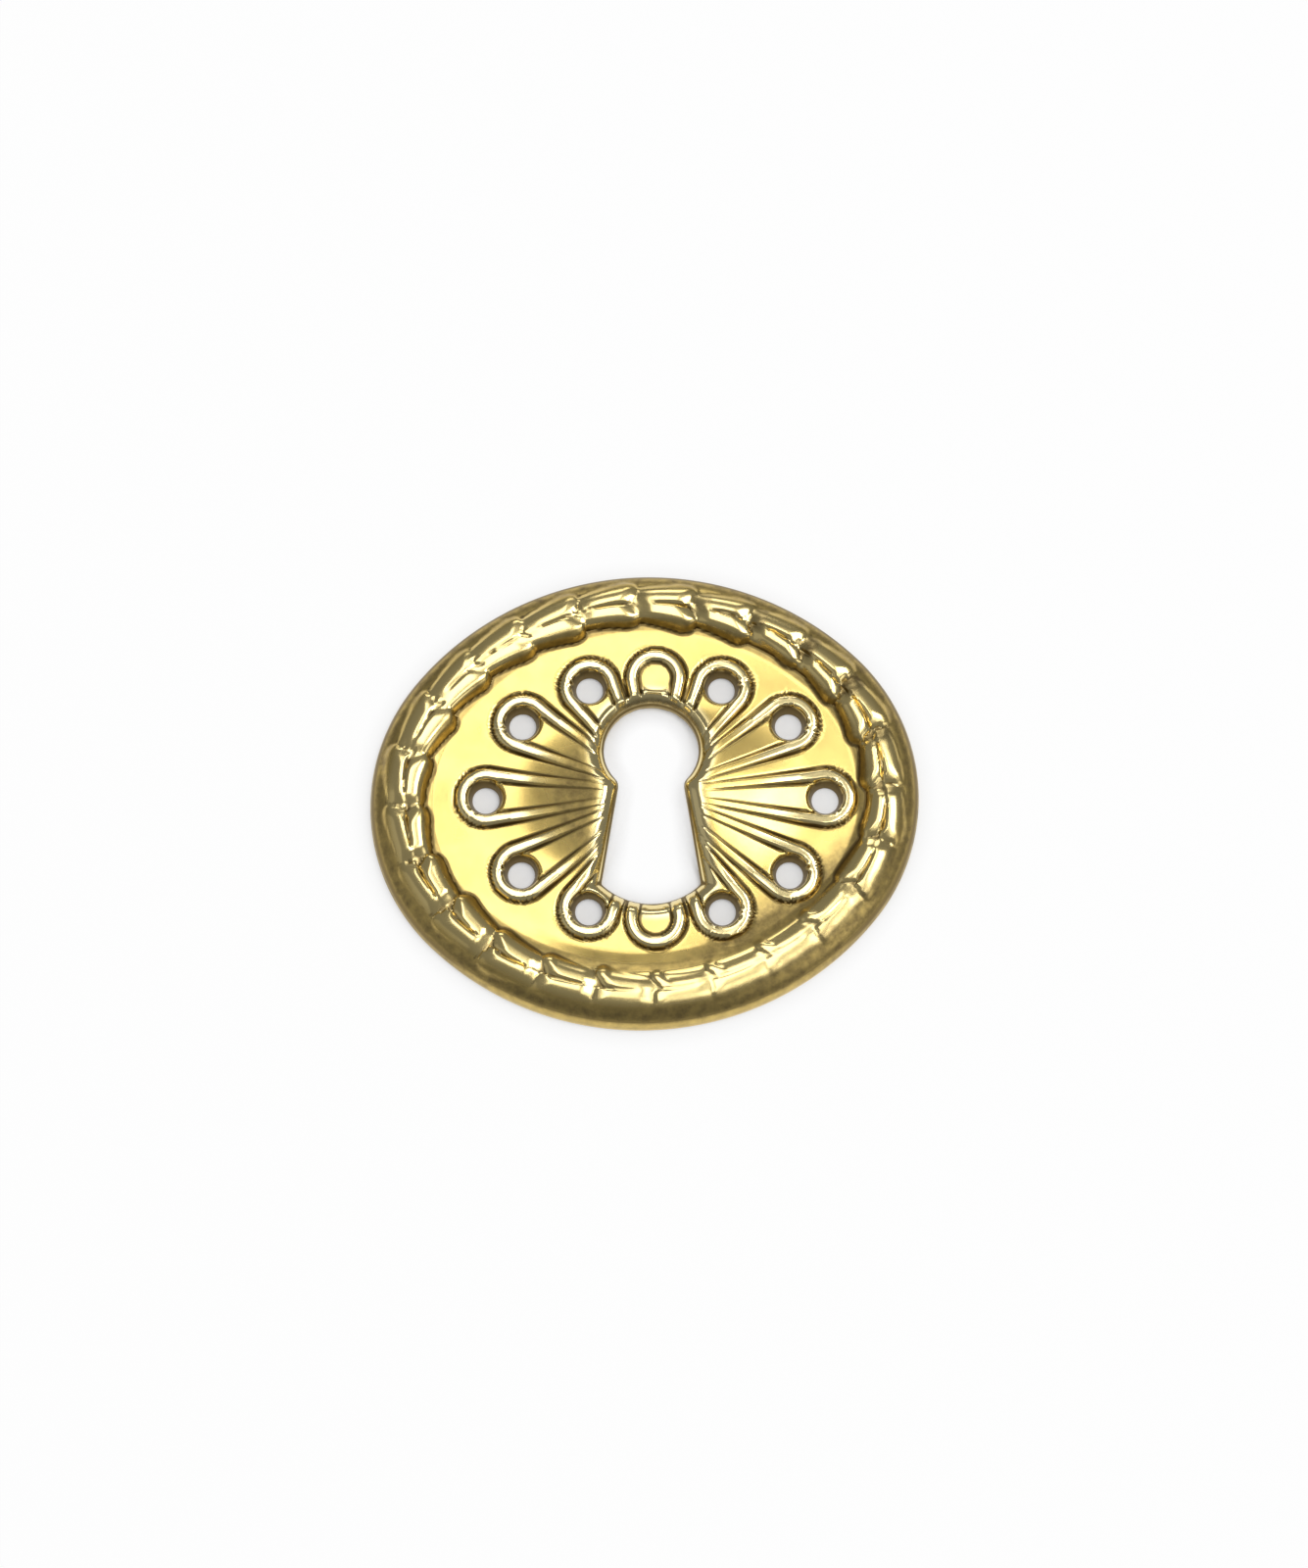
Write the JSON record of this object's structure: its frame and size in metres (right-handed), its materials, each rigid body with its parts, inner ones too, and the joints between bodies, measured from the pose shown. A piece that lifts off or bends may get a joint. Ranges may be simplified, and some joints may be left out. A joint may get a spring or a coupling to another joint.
{
  "type": "keyhole escutcheon",
  "caption": "Oval pressed brass keyhole escutcheon with a leaf-wreath rim and a rosette of pierced, fluted petals round the keyhole; covers the key opening of a drawer or door.",
  "frame": {"origin": "middle of the oval outline on the back plane, on which the rim rests", "axes": "+X across the keyhole, +Y to the keyhole's round end, +Z out of the ornamented face"},
  "size_m": [0.038, 0.0326, 0.0022],
  "materials": {
    "brass": "polished, with darker tarnish in the hollows"
  },
  "bodies": {
    "root": {"escutcheon_plate": "brass"}
  },
  "joints": []
}
